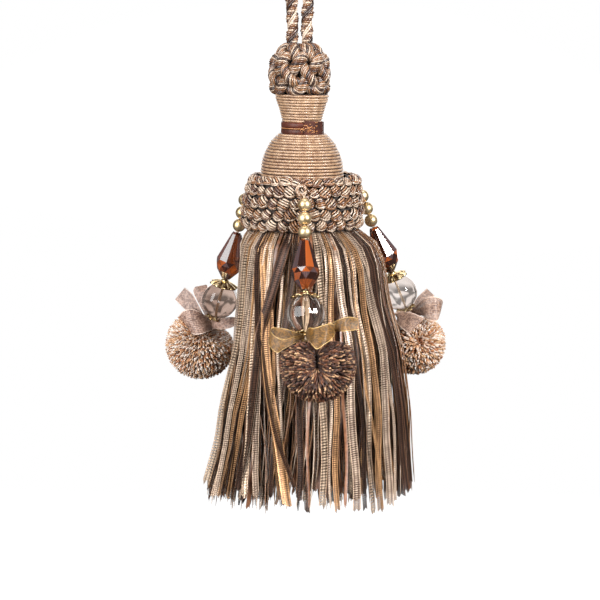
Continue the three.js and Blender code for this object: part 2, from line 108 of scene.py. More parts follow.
# Each bow's ribbons, as places along them. Columns, from the bow's tie: right, up and forward of
# one edge, then of the other.
BOW_RIBBONS = {
    "front": [
        [(-1, 2.8, 1, -1, 1.2, 1), (-4.5, 2.1, 3.4, -3.9, 0.4, 5.5), (-7.4, 1.5, 5, -7.1, -1.1, 7.4),
         (-9.7, 2.4, 4.6, -9.4, -2.4, 6.4), (-11.4, 4, 3.2, -11.9, -0.4, 4.2),
         (-11.1, 4.8, 1.4, -11.9, 1.3, 1.8), (-9.4, 4.8, 0.4, -9.7, 1.7, 1.2),
         (-6.1, 4.3, 0.2, -6.1, 0.9, 1.6), (-3.2, 3.2, 0, -3.2, 1.4, 1), (-0.7, 2.4, 0, -0.7, 1.1, 0)],
        [(-0.4, 3.5, 1.5, 0, 1.7, 3), (0.9, 5.4, 5.4, 1.6, 1.1, 11.4), (2.5, 5.6, 7.2, 3.3, -0.3, 14),
         (5.1, 6.4, 7.4, 5.6, 1, 13.4), (7.4, 6.9, 6.4, 7.8, 2.3, 11), (9, 6.2, 4.4, 9.3, 4, 6.4),
         (7, 5.4, 1.6, 7, 3, 2.4), (1.9, 3.4, 0.6, 1.9, 1.5, 0.6)],
        [(0.6, 2.7, 0, 0.6, 0.8, 0), (5.1, 4.7, 0.2, 5.4, 1.5, 0.4), (8.6, 6.5, 0.6, 9.3, 3.6, 1.2),
         (10.9, 7.8, 1.8, 11.5, 4.1, 4), (13.8, 8.4, 1.6, 14.1, 4.2, 3.6), (16.6, 7.8, 1, 16.4, 4.4, 2.4)],
    ],
    "left": [
        [(0.1, 0.7, 1, -0.6, -0.9, 1.6), (-2.7, 3.4, 3.4, -4.5, 1.7, 4), (-4.7, 7.2, 4, -7.6, 4.5, 4.6),
         (-6.9, 11, 3, -10.3, 6.8, 3.6), (-9.6, 13.4, 2.2, -13, 9.3, 2.2)],
        [(-0.6, 2.1, 1.2, -0.6, -0.7, 2), (3.1, 3.1, 3, 3.3, -0.6, 4.4), (6.2, 3.4, 2.6, 6.4, 0, 4),
         (8.8, 2.7, 0.6, 8.9, 1.4, 1.2), (5.9, 2.4, -1.2, 6.2, 0.5, -1),
         (-0.3, 1.3, -0.4, -0.3, -0.5, -0.4)],
        [(-1.1, 1.7, 1.8, -0.3, -0.9, 3.4), (-4, 5, 4.4, -2, -1.2, 7.2), (-7.4, 6.5, 5.4, -4, -1.7, 8.8),
         (-10.2, 5.6, 5, -6.1, -1.9, 8.2), (-11.6, 3.7, 3.6, -7.2, -1.4, 6.2),
         (-9.1, 5.9, 1.6, -5.4, 0.6, 3), (-5.4, 5.7, 0.8, -2.3, 1.5, 1.6), (-1, 1.7, 0.2, -0.3, 0.3, 0.2)],
        [(-2, 1.9, -1, -0.3, 1.9, -1), (-5.1, 6.8, -5.5, -1.6, 7.2, -5.5),
         (-7.1, 10.8, -8.2, -2, 11.8, -8.2), (-6.1, 12.4, -9.6, -2.7, 13, -9.6),
         (-4.7, 10.4, -10.5, -2.3, 10.4, -10.5)],
    ],
    "right": [
        [(-0.1, 1.4, 1, 0.9, -0.5, 1), (2.6, 4.3, 3, 3.8, 0.9, 4.4), (5.3, 6.7, 4.4, 6.3, -0.3, 7.4),
         (8.7, 7.3, 4.6, 9.1, -0.8, 7.6), (11, 6.2, 3.2, 10.3, 1, 5), (11.3, 4.6, 1, 10.4, 1.7, 2),
         (8.1, 4.8, -0.6, 7.7, 0.8, 0), (0.9, 1.4, 0, 1.2, -0.3, 0)],
        [(0.2, 1.4, -0.4, 1.2, 0.7, -0.4), (2.8, 6.1, -1.4, 4.8, 4.4, -1.4),
         (6.2, 9.3, -2.2, 8.9, 6.7, -2.2)],
        [(1.2, 1.7, 1, 1.7, 0.5, 2), (-1.5, 2.2, 2.6, -0.1, 0.5, 3.6), (-4.1, 2, 3.6, -3.4, -0.7, 5.4),
         (-5.1, 1.5, 5, -4.5, -1, 7), (-2.2, 2.3, 6, -2.9, -2.6, 9.6), (0.9, 2, 6.8, -1.5, -3.7, 10.8),
         (5.1, 0.4, 8.2, -0.2, -4.5, 11.4)],
    ],
}


# Paths

def unit(vectors):
    return vectors / np.maximum(np.linalg.norm(vectors, axis=-1, keepdims=True), 1e-9)


def circle(count):
    """Angles set evenly round a circle."""
    return np.linspace(0, math.tau, count + 1)[:-1]


def polar(radius, turn, height):
    """Points at radii, turns and heights."""
    return np.stack(np.broadcast_arrays(radius * np.cos(turn), radius * np.sin(turn), height), -1)


def revolved(outline, sides):
    """Rows of points, where an outline of radii and heights goes round the axis."""
    outline = np.array(outline, float)
    return polar(outline[:, :1], circle(sides), outline[:, 1:])


def distances(path):
    """How far along a path each of its points is."""
    return np.r_[0, np.cumsum(np.linalg.norm(np.diff(path, axis=0), axis=1))]


def evenly(path, step=None, count=None):
    """A path's points set an even step apart."""
    along = distances(path)
    count = count or max(2, round(along[-1] / step) + 1)
    at = np.linspace(0, along[-1], count)
    return np.stack([np.interp(at, along, column) for column in path.T], 1)


def smooth(points, step=None, count=None):
    """A smooth path through points."""
    p = np.array(points, float)
    p = np.vstack([2 * p[0] - p[1], p, 2 * p[-1] - p[-2]])
    t = np.linspace(0, 1, 24, endpoint=False)[:, None]
    parts = [
        0.5 * (2 * b + (c - a) * t + (2 * a - 5 * b + 4 * c - d) * t**2 + (3 * b - a - 3 * c + d) * t**3)
        for a, b, c, d in zip(p, p[1:], p[2:], p[3:])
    ]
    return evenly(np.vstack([*parts, p[-2:-1]]), step, count)


def frames(paths, start):
    """Tangents, normals and binormals along paths (count, points, 3), with no more twist than they need."""
    tangents = unit(np.gradient(paths, axis=1))
    normals = np.empty_like(paths)
    normal = np.broadcast_to(np.array(start, float), paths[:, 0].shape)
    for i in range(paths.shape[1]):
        along = tangents[:, i]
        normal = unit(normal - along * np.sum(normal * along, 1, keepdims=True))
        normals[:, i] = normal
    return tangents, normals, np.cross(tangents, normals)


def twisted(path, yarns, radius, lay, start=(0, 1, 0), phase=0.0):
    """Paths of yarns that wind round a path, one turn in each lay."""
    _, normal, binormal = frames(path[None], start)
    along = distances(path)
    angle = phase + math.tau * (along[None] / lay + np.arange(yarns)[:, None] / yarns)
    return path + radius * (np.cos(angle)[..., None] * normal + np.sin(angle)[..., None] * binormal)


def spaced(i):
    """A share from 0 to 1 that differs well from its neighbours' shares."""
    return (0.618 * i) % 1


def added(name, data):
    """A new object of the scene."""
    item = bpy.data.objects.new(name, data)
    bpy.context.scene.collection.objects.link(item)
    return item


class Shape:
    """Grids of points, collected to be made into one mesh."""

    def __init__(self):
        self.points, self.faces, self.uvs, self.slots, self.tones, self.size = [], [], [], [], [], 0

    def grids(self, points, slot=0, tone=0.5, wrap=False):
        """Adds grids (count, rows, columns, 3). wrap joins the last column to the first."""
        points = np.asarray(points, float)
        count, rows, columns, _ = points.shape
        across = columns if wrap else columns - 1
        place = np.arange(count * rows * columns).reshape(count, rows, columns) + self.size
        left = place[:, :, :across]
        right = np.roll(place, -1, 2)[:, :, :across]
        corners = [left[:, :-1], right[:, :-1], right[:, 1:], left[:, 1:]]
        self.faces.append(np.stack(corners, -1).reshape(-1, 4))
        steps = np.linalg.norm(np.diff(points.mean(2), axis=1), axis=-1)
        along = np.concatenate([np.zeros((count, 1)), np.cumsum(steps, 1)], 1)
        u = np.arange(across + 1) / across
        near, far, lower, upper = np.broadcast_arrays(
            u[:-1], u[1:], along[:, :-1, None], along[:, 1:, None]
        )
        self.uvs.append(np.stack([near, lower, far, lower, far, upper, near, upper], -1).reshape(-1, 2))
        each = (rows - 1) * across
        self.slots.append(np.repeat(np.broadcast_to(slot, count), each))
        tone = np.asarray(tone, float)
        tone = tone if tone.ndim == 2 else np.broadcast_to(tone.reshape(-1, 1), (count, rows))
        self.tones.append(np.repeat(tone, columns, axis=1).ravel())
        self.points.append(points.reshape(-1, 3))
        self.size += count * rows * columns

    def tubes(self, paths, radius, sides=5, slot=0, tone=0.5, start=(0.3, 1, 0.2)):
        """Adds tubes along paths (count, points, 3), drawn in at both ends."""
        paths = np.asarray(paths, float)
        _, normal, binormal = frames(paths, start)
        angle = math.tau * np.arange(sides) / sides
        reach = np.broadcast_to(radius, paths.shape[:2]).astype(float).copy()
        reach[:, 0] *= 0.3
        reach[:, -1] *= 0.3
        ring = np.cos(angle)[:, None] * normal[:, :, None] + np.sin(angle)[:, None] * binormal[:, :, None]
        self.grids(paths[:, :, None] + reach[..., None, None] * ring, slot, tone, wrap=True)

    def made(self, name, nodes, looks, shift=-LOOP_HEIGHT):
        """The mesh as a piece that stands for CAD nodes."""
        faces = np.concatenate(self.faces)
        mesh = bpy.data.meshes.new(name)
        mesh.vertices.add(self.size)
        points = np.concatenate(self.points) + (0, 0, shift)
        mesh.vertices.foreach_set("co", (points * MM).ravel())
        mesh.loops.add(faces.size)
        mesh.loops.foreach_set("vertex_index", faces.ravel())
        mesh.polygons.add(len(faces))
        for item, values in (
            ("loop_start", np.arange(0, faces.size, 4)), ("loop_total", np.full(len(faces), 4)),
            ("material_index", np.concatenate(self.slots)), ("use_smooth", np.ones(len(faces), bool)),
        ):
            mesh.polygons.foreach_set(item, values)
        mesh.uv_layers.new(name="UVMap").data.foreach_set("uv", np.concatenate(self.uvs).ravel())
        mesh.attributes.new("tone", "FLOAT", "POINT").data.foreach_set("value", np.concatenate(self.tones))
        mesh.update(calc_edges=True)
        piece = added(name, mesh)
        for look in looks:
            mesh.materials.append(look)
        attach(piece, "root")
        if nodes:
            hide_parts(*nodes)
        return piece


# Materials, with colours as display numbers from 0 to 255

BLACK = (0, 0, 0)
WHITE = (255, 255, 255)


def linear(colour):
    """A colour as the shader takes it."""
    return (*[x / 255 / 12.92 if x < 11 else ((x / 255 + 0.055) / 1.055) ** 2.4 for x in colour], 1)


class Look:
    """A material round one Principled shader."""

    def __init__(self, name, **sockets):
        self.material = bpy.data.materials.new(name)
        self.material.use_nodes = True
        self.tree = self.material.node_tree
        self.shader = self.tree.nodes["Principled BSDF"]
        for socket, value in sockets.items():
            self.shader.inputs[socket.replace("_", " ")].default_value = value

    def node(self, kind, *inputs, **settings):
        """A node whose inputs, in order, are sockets, numbers or None."""
        node = self.tree.nodes.new("ShaderNode" + kind)
        for name, value in settings.items():
            setattr(node, name, value)
        for socket, value in zip(node.inputs, inputs):
            self.join(value, socket)
        return node

    def join(self, value, socket):
        if isinstance(value, bpy.types.NodeSocket):
            self.tree.links.new(value, socket)
        elif value is not None:
            socket.default_value = value

    def math(self, operation, a, b=None):
        return self.node("Math", a, b, operation=operation).outputs[0]

    def times(self, a, b):
        return self.math("MULTIPLY", a, b)

    def plus(self, a, b):
        return self.math("ADD", a, b)

    def rest(self, value):
        """What value leaves of 1."""
        return self.math("SUBTRACT", 1.0, value)

    def weighed(self, *parts):
        """The sum of values times their weights."""
        total, *others = [self.times(value, weight) for value, weight in parts]
        for part in others:
            total = self.plus(total, part)
        return total

    def mixed(self, share, a, b):
        """The colour a where share is 0 and b where it is 1."""
        node = self.node("Mix", share, data_type="RGBA")
        for socket, colour in zip(node.inputs[6:8], (a, b)):
            self.join(linear(colour) if isinstance(colour, tuple) else colour, socket)
        return node.outputs[2]

    def noise(self, scale, detail=2.0):
        place = self.node("TexCoord").outputs["Object"]
        return self.node("TexNoise", place, None, scale, detail).outputs[0]

    def tone(self):
        return self.node("Attribute", attribute_name="tone").outputs["Fac"]

    def uv(self):
        parts = self.node("SeparateXYZ", self.node("UVMap").outputs[0])
        return parts.outputs[0], parts.outputs[1]

    def spread(self, value, low, high):
        """value from low to high, as 0 to 1."""
        return self.node("MapRange", value, low, high).outputs[0]

    def cloud(self, scale, low=0.3, high=0.7, detail=2.0):
        """Patches from 0 to 1, smaller as the scale grows."""
        return self.spread(self.noise(scale, detail), low, high)

    def zigzag(self, value):
        """Up from 0 to 1 and back in each unit of value."""
        return self.times(self.math("PINGPONG", value, 0.5), 2.0)

    def slanting(self, turns, pitch):
        """Fine threads that lie at a slant: their turns across a strand, and their pitch along it."""
        u, v = self.uv()
        return self.zigzag(self.plus(self.times(u, turns), self.math("DIVIDE", v, pitch)))

    def selvage(self, low, high):
        """1 along both edges of a ribbon and 0 between them."""
        return self.spread(self.math("ABSOLUTE", self.math("SUBTRACT", self.uv()[0], 0.5)), low, high)

    def painted_hollow_shade(self, colour, dark, depth):
        """colour, with shade painted darker by depth where other strands stand close round it."""
        open_share = self.node("AmbientOcclusion", None, 0.0018, samples=6).outputs["AO"]
        shade = self.mixed(0.7, dark, BLACK)
        return self.mixed(self.times(self.spread(open_share, 0.88, 0.35), depth), colour, shade)

    def drive(self, name, value):
        self.join(value, self.shader.inputs[name])

    def bump(self, height, strength, distance):
        node = self.node("Bump", strength, distance)
        self.join(height, node.inputs["Height"])
        self.drive("Normal", node.outputs[0])

    def finish(self, colour):
        self.drive("Base Color", colour)
        return self.material


# depth sets how dark the painted shade in the hollows gets.
def yarn(name, dark, light, roughness=0.36, gloss=0.9, depth=0.85):
    """Spun yarn: fibres wind round it, its tone varies from strand to strand, and shade is painted into its
    hollows and into the grooves between its fibres.
    """
    look = Look(name, Roughness=roughness, Sheen_Weight=0.1, Sheen_Roughness=0.4, Specular_IOR_Level=gloss)
    fibres = look.slanting(2.0, 1.4)
    share = look.weighed((look.tone(), 0.65), (look.cloud(900), 0.35))
    # The colour darkens where the fibres' bump dips: painted shade in their grooves.
    share = look.times(share, look.spread(fibres, -0.6, 0.8))
    look.bump(fibres, 0.35, 0.0002)
    # Painted shade: darker where other strands stand close round it.
    return look.finish(look.painted_hollow_shade(look.mixed(share, dark, light), dark, depth))


def gimp(name, groove_shade, dark, light):
    """Shiny filament wound over a core: fine slanting threads, with shade painted dark into its grooves, so
    that its round reads as lit.
    """
    look = Look(name, Roughness=0.3, Specular_IOR_Level=0.8, Sheen_Weight=0.1)
    lit_crest = look.math("ABSOLUTE", look.math("SINE", look.times(look.uv()[0], math.tau)))
    threads = look.slanting(1.5, 0.55)
    share = look.weighed((threads, 0.35), (look.cloud(600), 0.65))
    look.bump(threads, 0.5, 0.00012)
    # Painted shade: the groove colour darkens the upper and lower side of each turn.
    return look.finish(look.mixed(look.spread(lit_crest, 0.4, 0.88), groove_shade, look.mixed(share, dark, light)))


def satin(name, dark, light, roughness=0.34, depth=0.0, gloss=0.7):
    """A ribbon or thread of shiny filament."""
    look = Look(name, Roughness=roughness, Anisotropic=0.5, Specular_IOR_Level=gloss, Sheen_Weight=0.05)
    lines = look.math("PINGPONG", look.math("DIVIDE", look.uv()[1], 0.35), 0.5)
    share = look.weighed((look.tone(), 0.5), (look.cloud(700), 0.5))
    look.bump(lines, 0.35, 0.0001)
    colour = look.mixed(share, dark, light)
    # With a depth, shade is painted darker into its hollows.
    return look.finish(look.painted_hollow_shade(colour, dark, depth) if depth else colour)


def ladder(name, dark, light, edge, rung):
    """Ladder-weave ribbon: rungs between closed edges, brightest in lines at the edges and the middle. The
    open weave between the rungs is partly see-through and painted darker, as shade seen through it, and its
    hollows get painted shade too.
    """
    look = Look(name, Roughness=0.34, Metallic=0.4, Specular_IOR_Level=0.4, Sheen_Weight=0.05)
    lines = look.math("ABSOLUTE", look.math("COSINE", look.times(look.uv()[0], math.tau)))
    lines = look.spread(lines, 0.2, 0.9)
    selvage = look.selvage(0.43, 0.46)
    thread = look.spread(look.slanting(0.4, rung), 0.3, 0.6)
    share = look.weighed((look.tone(), 0.6), (look.cloud(500), 0.4))
    share = look.times(share, look.plus(look.times(lines, 0.75), 0.25))
    gap = look.times(look.rest(thread), look.rest(selvage))
    gap = look.times(gap, look.plus(look.cloud(110, 0.38, 0.62), 0.3))
    look.drive("Alpha", look.rest(look.times(gap, 0.4)))
    look.bump(look.plus(thread, selvage), 0.6, 0.0002)
    body = look.mixed(look.times(selvage, 0.7), look.mixed(share, dark, light), edge)
    # Painted shade: the open weave between the rungs is darkened, as the shade seen through it.
    body = look.mixed(look.times(gap, 0.6), body, look.mixed(0.3, dark, BLACK))
    # Painted shade in its hollows.
    return look.finish(look.painted_hollow_shade(body, dark, 0.7))


def organza(name, dark, light, edge, clear=0.22):
    """Sheer ribbon: fine threads run along it, between two closed edges, with painted glints in small spots.
    """
    look = Look(name, Roughness=0.34, Specular_IOR_Level=0.7, Sheen_Weight=0.15, Sheen_Roughness=0.3)
    u, v = look.uv()
    selvage = look.selvage(0.455, 0.475)
    along = look.spread(look.zigzag(look.times(u, 14.0)), 0.3, 0.8)
    across = look.spread(look.zigzag(look.math("DIVIDE", v, 0.45)), 0.3, 0.8)
    weave = look.math("MAXIMUM", along, look.times(across, 0.6))
    cloud = look.cloud(300, 0.35, 0.65)
    # Painted glints: small bright spots at random.
    painted_glint = look.cloud(1700, 0.44, 0.58, 0.0)
    share = look.weighed((weave, 0.3), (cloud, 0.3), (painted_glint, 0.4))
    open_part = look.times(look.rest(weave), look.rest(selvage))
    look.drive("Alpha", look.rest(look.times(open_part, clear)))
    look.bump(weave, 0.6, 0.00015)
    return look.finish(look.mixed(look.times(selvage, 0.8), look.mixed(share, dark, light), edge))


def metal(name, dark, light, roughness):
    """Plated brass, darker in patches."""
    look = Look(name, Metallic=1.0)
    cloud = look.cloud(350, 0.35, 0.65)
    look.drive("Roughness", look.plus(look.times(cloud, 0.12), roughness))
    look.bump(look.noise(2500), 0.12, 0.00005)
    return look.finish(look.mixed(cloud, dark, light))


def glass(name, dark, light, rim):
    """Pressed glass, a little uneven in its tint, with shade painted into its tint as a dark rim where it is
    seen at a slant.
    """
    look = Look(name, Transmission_Weight=1.0, IOR=1.5, Roughness=0.04)
    # Painted shade: the rim colour darkens the tint where the glass is seen at a slant.
    slant = look.spread(look.node("LayerWeight", 0.5).outputs["Facing"], 0.4, 0.9)
    return look.finish(look.mixed(slant, look.mixed(look.cloud(120, 0.35, 0.65), dark, light), rim))


def cut_glass(name, dark, bright, reflection_grey):
    """Cut glass whose facets each take a tone at random: from the dark tint to orange painted glints, and on
    about a fifth of them a painted grey reflection.
    """
    look = Look(name, Transmission_Weight=0.55, IOR=1.6, Roughness=0.03, Coat_Weight=0.6, Coat_Roughness=0.02)
    tone = look.tone()
    look.bump(look.noise(200), 0.05, 0.0002)
    # Painted glints and painted reflections, set facet by facet.
    dark_to_glint = look.mixed(look.spread(tone, 0.35, 0.8), dark, bright)
    return look.finish(look.mixed(look.spread(tone, 0.78, 0.82), dark_to_glint, reflection_grey))


tips = {
    "dark": [
        yarn("dark_tips", (28, 12, 8), (104, 58, 36), 0.5, 0.5, 0.75),
        yarn("russet_tips", (46, 20, 11), (162, 98, 60), 0.5, 0.5, 0.7),
        yarn("pale_tips", (92, 48, 27), (250, 200, 150), 0.5, 0.5, 0.5),
    ],
    "pale": [
        yarn("brown_tips", (124, 66, 37), (232, 164, 112), 0.5, 0.5, 0.3),
        yarn("golden_tips", (152, 96, 58), (255, 214, 168), 0.5, 0.5, 0.25),
        yarn("white_tips", (200, 156, 124), (255, 254, 248), 0.45, 0.6, 0.1),
    ],
}
BLEND = [
    # The dark yarn is a real yarn of the cord and the knot, and it also paints shade as cores and under the
    # collar's knots.
    yarn("cream_yarn", (120, 84, 60), (240, 216, 190), 0.24),
    yarn("tan_yarn", (78, 46, 27), (186, 134, 92), 0.26),
    yarn("brown_yarn", (48, 26, 17), (126, 82, 56), 0.28),
    yarn("dark_yarn", (26, 15, 11), (80, 50, 38), 0.34),
]
# Its first colour is the painted shade of the grooves between the turns.
gimp_satin = gimp("gimp_satin", (80, 43, 23), (132, 92, 62), (214, 178, 142))
# Dark yarn for the cores and backings under the strands: a real filling, made dark so that it paints the
# shade between the strands.
shade_packing = yarn("shade_packing_yarn", (40, 24, 16), (84, 56, 38), 0.8)
band_satin = satin("band_satin", (34, 12, 7), (98, 44, 26), 0.45, gloss=0.35)
gold_thread = satin("gold_thread", (140, 80, 40), (216, 156, 98), 0.3)
gold = metal("satin_gold", (212, 184, 138), (244, 222, 182), 0.38)
old_gold = metal("old_gold", (164, 132, 84), (246, 224, 176), 0.24)
silver = satin("silver_ribbon", (164, 136, 114), (236, 216, 196), 0.25)
silk = satin("silk_thread", (176, 146, 118), (240, 220, 190), 0.35)
# Its colours: the dark amber tint, orange painted glints and a grey-violet painted reflection.
amber = cut_glass("amber_glass", (58, 27, 18), (222, 112, 48), (112, 88, 90))
# One clear glass in three copies: the left is tinted darker as painted shade and the right lighter as painted
# light, for what each sees round it.
CLEAR = {
    "front": glass("clear_glass", (222, 206, 194), (246, 236, 228), (116, 92, 80)),
    "left": glass("shaded_copy_glass", (148, 118, 104), (218, 194, 180), (96, 72, 58)),
    "right": glass("lit_copy_glass", (226, 212, 204), (252, 246, 242), (128, 104, 92)),
}


# Camera, lights and backdrop

def camera():
    data = bpy.data.cameras.new("camera")
    data.sensor_width = CAMERA["sensor"]
    data.lens = CAMERA["focal"] / CAMERA["picture"] * CAMERA["sensor"]
    data.clip_end = 20
    eye = added("camera", data)
    eye.location = Vector(CAMERA["place"]) * MM
    eye.rotation_euler = (math.radians(90 + CAMERA["tilt"]), 0, 0)
    bpy.context.scene.camera = eye


def softbox(name, place, size, power):
    """A lamp that points at the tassel's middle."""
    data = bpy.data.lights.new(name, "AREA")
    data.shape = "RECTANGLE"
    data.size, data.size_y = size
    data.energy = power
    lamp = added(name, data)
    lamp.location = place
    lamp.rotation_euler = (Vector((0, 0, -0.13)) - Vector(place)).to_track_quat("-Z", "Y").to_euler()
    lamp.visible_camera = False
    lamp.visible_transmission = False


def backdrop():
    """A white floor that rises into a white dome all round. The glass sees it dimmer, in patches."""
    look = Look("backdrop_white", Roughness=1.0, Specular_IOR_Level=0.0)
    look.drive("Base Color", linear(BLACK))
    look.drive("Emission Color", linear(WHITE))
    camera_ray = look.node("LightPath").outputs["Is Camera Ray"]
    dim = look.plus(look.times(look.cloud(1.1, 0.38, 0.5, 0.0), 0.8), 0.3)
    look.drive("Emission Strength", look.math("MAXIMUM", camera_ray, dim))
    outline = [
        (0.001, -0.27), (1.2, -0.27), (1.9, -0.15), (2.3, 0.3), (2.4, 1.0), (2.0, 1.8), (1.2, 2.3),
        (0.001, 2.5),
    ]
    sides = 48
    points = revolved(outline, sides).reshape(-1, 3)
    faces = [
        (i + k, i + (k + 1) % sides, i + sides + (k + 1) % sides, i + sides + k)
        for i in range(0, len(points) - sides, sides)
        for k in range(sides)
    ]
    mesh = bpy.data.meshes.new("backdrop")
    mesh.from_pydata([tuple(p) for p in points], [], faces)
    mesh.materials.append(look.material)
    dome = added("backdrop", mesh)
    dome.visible_diffuse = False
    dome.visible_glossy = False
    dome.visible_shadow = False


def world():
    sky = bpy.data.worlds.new("studio")
    sky.use_nodes = True
    shade = sky.node_tree.nodes["Background"]
    shade.inputs[0].default_value = linear(WHITE)
    shade.inputs[1].default_value = 0.13
    bpy.context.scene.world = sky
    bpy.context.scene.view_settings.view_transform = "Standard"


camera()
world()
backdrop()
for name, place, size, power in (
    ("left_softbox", (-0.85, -0.95, 0.3), (0.95, 1.35), 31),
    ("right_softbox", (0.95, -0.85, 0.35), (0.3, 0.6), 28),
    ("top_softbox", (0.0, 0.3, 1.2), (0.8, 0.8), 9),
    ("back_softbox", (0.2, 1.4, 0.2), (1.6, 1.0), 12),
):
    softbox(name, place, size, power)


# Hanging cord

# Each ply's strands. Columns: slots, lay, reach from the ply's middle, radius.
PLIES = [
    ([3, 3, 1, 3, 3, 2], 14, 0.66, 0.38),
    ([1, 0, 2], 2.4, 0.74, 0.52),
    ([4, 4, 4], 14, 0.42, 0.38),
    ([1, 2, 0], 2.2, 0.8, 0.54),
]


def hanging_cord():
    """Four plies laid right-handed: a dark ribbon, a gimp, a silver ribbon and a gimp."""
    route = smooth([(x, 0, z) for x, z in LOOP_ROUTE], step=0.4)
    plies = twisted(route, len(PLIES), CORD["ply"], CORD["lay"])
    shape = Shape()
    for ply, (slots, lay, reach, thick) in enumerate(PLIES):
        strands = twisted(plies[ply], len(slots), reach, lay, phase=ply)
        for i, slot in enumerate(slots):
            shape.tubes(strands[i][None], thick, 5, slot, 0.5 + 0.5 * spaced(i))
    piece = shape.made("hanging_cord_rope", ["hanging_cord"], [*BLEND, silver], shift=0)


hanging_cord()


# Ball knot

def knot_path(count):
    """The knot's cord, which runs over (1) and under (-1) its crossings in turn."""
    share = np.linspace(0, 1, count)
    leads, bights = WEAVE["leads"], WEAVE["bights"]
    place = share % 1 * 2 * leads * bights % leads
    weave = np.select(
        [place < 1, place > leads - 1],
        [np.sin(math.pi / 2 * place), np.sin(math.pi / 2 * (place - leads))],
        np.cos(math.pi * (place - 1)),
    )
    rise = math.radians(WEAVE["rise"]) * np.cos(math.tau * bights * share)
    wide = (KNOT["radius"] + KNOT["weave"] * weave) * np.cos(rise) ** np.where(rise < 0, KNOT["foot"], 1)
    high = (KNOT["height"] + KNOT["weave"] * weave) * np.sin(rise)
    return polar(wide, math.tau * leads * share, high) + (KNOT["x"], 0, KNOT["z"])


def ball_knot():
    """A Turk's head of one cord of many yarns, over a padded middle."""
    count = 1300
    path = knot_path(count)
    rng = seeded(5)
    share = np.linspace(0, 1, count)
    for axis in range(3):
        for waves in (7, 12, 19, 27):
            path[:, axis] += rng.normal(0, 0.16) * np.sin(math.tau * (waves * share + rng.random()))
    shape = Shape()
    slots = [0, 1, 0, 3, 0, 1, 2, 3, 1]
    yarns = twisted(path, len(slots), 1.55, 5.6, start=UP)
    for i, slot in enumerate(slots):
        shape.tubes(yarns[i][None], 0.38, 5, slot, 0.4 + 0.55 * spaced(i))
    # A dark core tube in the darkest tone inside the yarns: painted shade that shows between them.
    shape.tubes(path[::2][None], 1.3, 6, 3, 0.0, start=UP)
    # The padded middle is in the dark packing: painted shade under the cord.
    rise = np.radians(np.linspace(-80, 80, 20))[:, None]
    core = KNOT["core"] * polar(np.cos(rise), circle(40), 0.88 * np.sin(rise))
    shape.grids((core + (KNOT["x"], 0, KNOT["z"]))[None], 4, 0.3, wrap=True)
    shape.made("ball_knot_cord", ["ball_knot"], [*BLEND, shade_packing])


ball_knot()


# Wound mold and its ribbon

def wound(shape, outline, turns, seed):
    """A gimp wound round an outline, with the form that it covers."""
    rng = seeded(seed)
    profile = smooth([(r, 0, z) for r, z in outline], count=turns * 48 + 1)
    turn = np.linspace(0, math.tau * turns, len(profile))
    places = np.arange(turns * 3 + 1)
    wobble = np.interp(turn, places * math.tau / 3, rng.normal(0, 0.035, len(places)))
    path = polar(profile[:, 0] - GIMP + wobble, turn, profile[:, 2] + wobble)
    shape.tubes(path[None], GIMP, 8, 0, 0.5, start=UP)
    # The form beneath is in the dark packing, so it paints shade between the turns.
    form = revolved(profile[:: turns * 2, ::2] - (MOLD_INSET, 0), 48)
    shape.grids(form[None], 1, 0.4, wrap=True)


def mold():
    shape = Shape()
    wound(shape, NECK_OUTLINE, 10, 3)
    wound(shape, DOME_OUTLINE, 17, 4)
    shape.made("mold_gimp", ["wound_mold"], [gimp_satin, shade_packing])


def band():
    """Two turns of dark ribbon with a gold line between them, lapped at the right front, where short pieces
    of gold thread paint the glints of its shiny fold.
    """
    shape = Shape()
    radius, dip = BAND["radius"], BAND["dip"]
    for top, bottom, tone in ((-25.45, -27.45, 0.75), (-27.6, -29.6, 0.4)):
        outline = [
            (6.3, top), (6.75, top), (radius, top - 0.5), (radius + 0.03, (top + bottom) / 2),
            (radius, bottom + 0.5), (6.75, bottom), (6.3, bottom),
        ]
        ring = revolved(outline, 96)
        ring[..., 2] += dip * np.sin(circle(96))
        shape.grids(ring[None], 0, tone, wrap=True)
    turn = np.linspace(0, math.tau, 121)
    line = polar(radius, turn, BAND["middle"] + dip * np.sin(turn))
    shape.tubes(line[None], 0.17, 5, 1, 0.4, start=UP)
    heights = np.linspace(-25.1, -29.7, 9)
    for start, end, reach, tone in ((-84, -44, 7.22, 0.5), (-50, -6, 7.4, 0.0)):
        turn = np.radians(np.linspace(start, end, 14))[:, None]
        lap = polar(reach, turn, heights - 0.5 * (turn + 1))
        lap[..., 0] += 0.12 * np.sin(9 * turn) * np.cos(turn)
        shape.grids(lap[None], 0, tone)
    # Short gold thread pieces clustered on the lap: painted glints.
    rng = seeded(8)
    for start, height in zip(rng.normal(-68, 11, 44), rng.uniform(-29.2, -25.6, 44)):
        turn = np.radians(np.linspace(start, start + rng.uniform(3, 8), 5))
        rise = rng.normal(0, 2.5) * (turn - turn[0])
        glint_piece = polar(7.24 + 0.1 * np.sin(np.linspace(0, math.pi, 5)), turn, height + rise)
        shape.tubes(glint_piece[None], 0.13, 4, 1, rng.uniform(0, 0.6), start=UP)
    shape.made("waist_ribbon", ["waist_band"], [band_satin, gold_thread])


mold()
band()


# Collar

